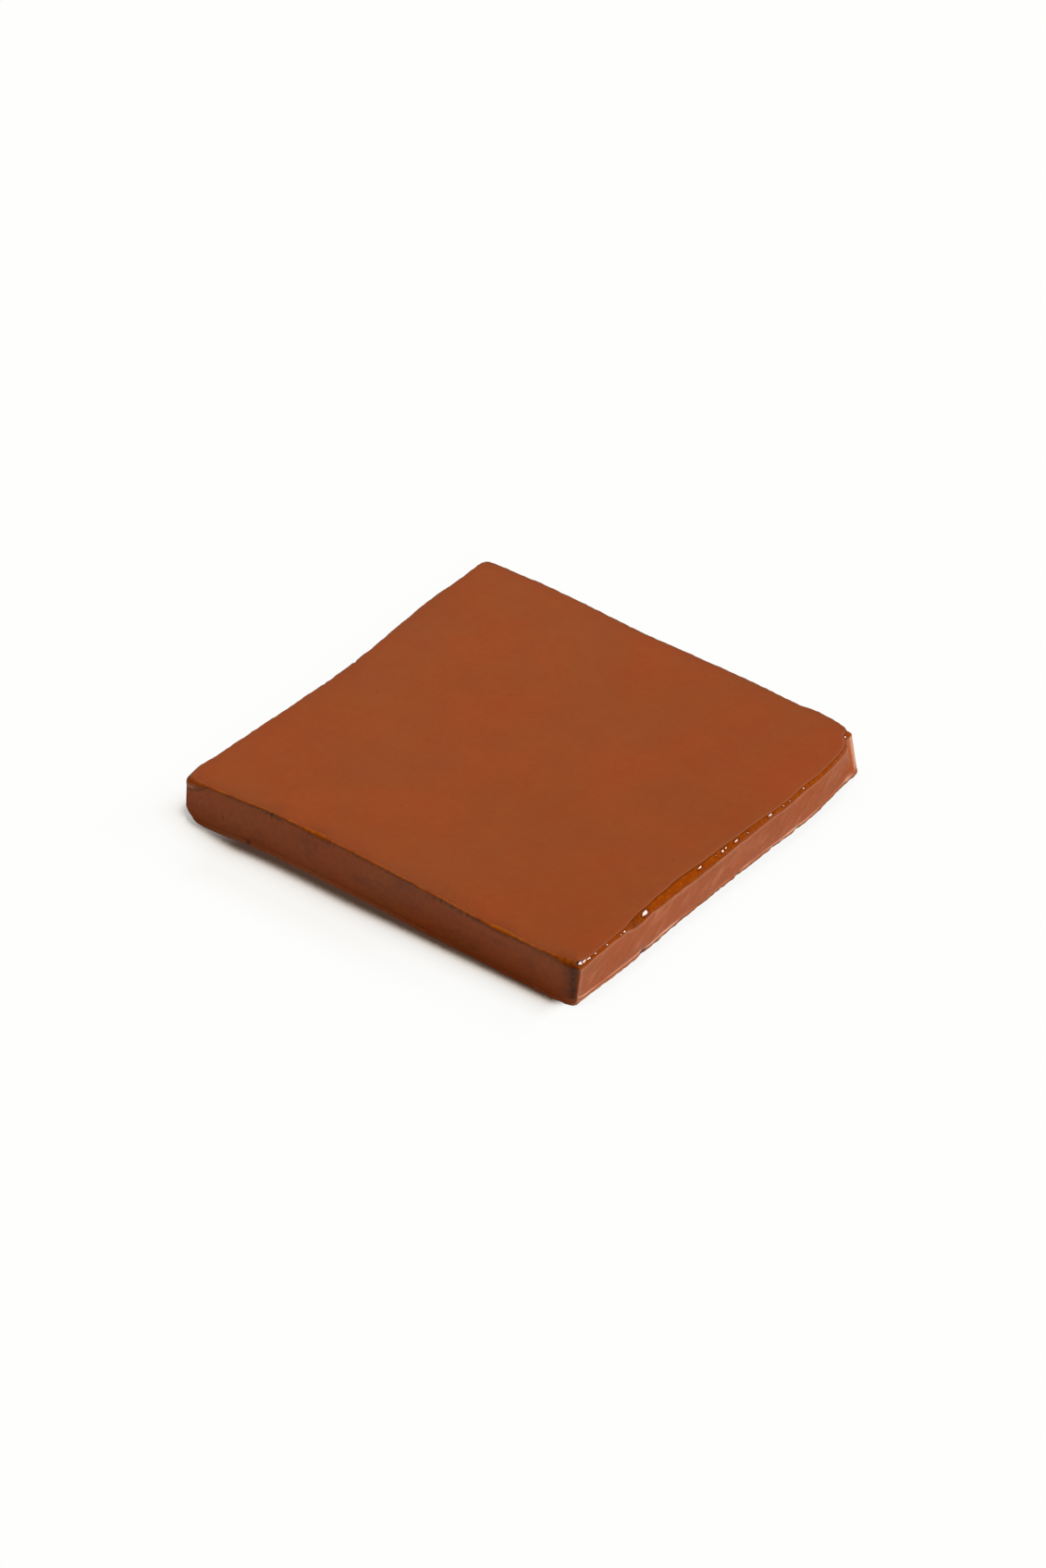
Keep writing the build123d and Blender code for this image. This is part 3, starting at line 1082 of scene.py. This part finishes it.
to_corner = climb(place_x, *shadow_right, start=1, end=0)
shadow = calculate("MULTIPLY", calculate("MULTIPLY", from_corner, to_corner), toward_front)
shadow = calculate("MULTIPLY", calculate("MAXIMUM", shadow, faint), close)
seen = mix_shaders(shadow, bleached.outputs[0], near_floor)
sheet_of_paper = mix_shaders(path.outputs["Is Camera Ray"], lit.outputs[0], seen)
from_below = add_node("ShaderNodeNewGeometry").outputs["Backfacing"]
from_foot = calculate("LESS_THAN", path.outputs["Ray Length"], foot_gap)
see_through = add_node("ShaderNodeBsdfTransparent")
passing = calculate("MAXIMUM", from_below, from_foot)
surface = mix_shaders(passing, sheet_of_paper, see_through.outputs[0])
output = add_node("ShaderNodeOutputMaterial")
links.new(surface, output.inputs["Surface"])

# The light is one round softbox, high on the right and a little behind, in a dim even room.
# The glaze mirrors the softbox in its drops and a grey card behind the tile in its face.
# The camera sees the room as plain white.
key_turn = radians(20)
key_rise = radians(45)
key_distance = 1.2
key_spread = radians(24)
key_level = 0.94
room_level = 0.368
card_heading = Vector((-0.50, 0.60, 0.62)).normalized()
card_edge = radians(62)     # from the middle of the card to where it has faded out
card_full = radians(20)
card_dim = 0.016
card_bright = 0.248
key = bpy.data.lights.new("softbox", "AREA")
key.shape = "DISK"
key.size = 2 * key_distance * tan(key_spread / 2)
key.energy = key_level * pi * pi * key_distance**2
softbox = bpy.data.objects.new("softbox", key)
key_heading = Vector((cos(key_rise) * cos(key_turn), cos(key_rise) * sin(key_turn), sin(key_rise)))
softbox.location = key_heading * key_distance
softbox.rotation_euler = key_heading.to_track_quat("Z", "Y").to_euler()
bpy.context.scene.collection.objects.link(softbox)

world = bpy.data.worlds.new("studio")
bpy.context.scene.world = world
world.use_nodes = True
nodes, links = world.node_tree.nodes, world.node_tree.links
nodes.clear()
room = add_node("ShaderNodeBackground")
room.inputs["Color"].default_value = (1, 1, 1, 1)
path = add_node("ShaderNodeLightPath")
toward_card = add_node("ShaderNodeVectorMath", operation="DOT_PRODUCT")
toward_card.inputs[1].default_value = card_heading
links.new(add_node("ShaderNodeTexCoord").outputs["Generated"], toward_card.inputs[0])
turned_to_card = toward_card.outputs["Value"]
card = climb(turned_to_card, cos(card_edge), cos(card_full), start=card_dim, end=card_bright)
level = add_node("ShaderNodeMix", data_type="FLOAT")
level.inputs[2].default_value = room_level
links.new(path.outputs["Is Glossy Ray"], level.inputs[0])
links.new(card, level.inputs[3])
seen_level = add_node("ShaderNodeMix", data_type="FLOAT")
seen_level.inputs[3].default_value = 1
links.new(path.outputs["Is Camera Ray"], seen_level.inputs[0])
links.new(level.outputs[0], seen_level.inputs[2])
links.new(seen_level.outputs[0], room.inputs["Strength"])
output = add_node("ShaderNodeOutputWorld")
links.new(room.outputs[0], output.inputs["Surface"])

# The camera stands where the photograph was taken from, with a long lens.
# It looks at the middle of the tile, moved a little sideways and up in its own view.
view_turn = radians(37.591)
view_rise = radians(37.176)
view_distance = 912.2 * mm
view_right = -1.93 * mm
view_up = 2.36 * mm
camera_data = bpy.data.cameras.new("camera")
camera_data.lens = 100
camera_data.sensor_width = 36
camera_data.sensor_fit = "AUTO"
camera = bpy.data.objects.new("camera", camera_data)
back = Vector((sin(view_turn) * cos(view_rise), -cos(view_turn) * cos(view_rise), sin(view_rise)))
right = Vector((cos(view_turn), sin(view_turn), 0))
up = back.cross(right)
stand = back * view_distance + right * view_right + up * view_up
camera.matrix_world = Matrix.Translation(stand) @ Matrix((right, up, back)).transposed().to_4x4()
bpy.context.scene.collection.objects.link(camera)
bpy.context.scene.camera = camera
bpy.context.scene.view_settings.view_transform = "Standard"
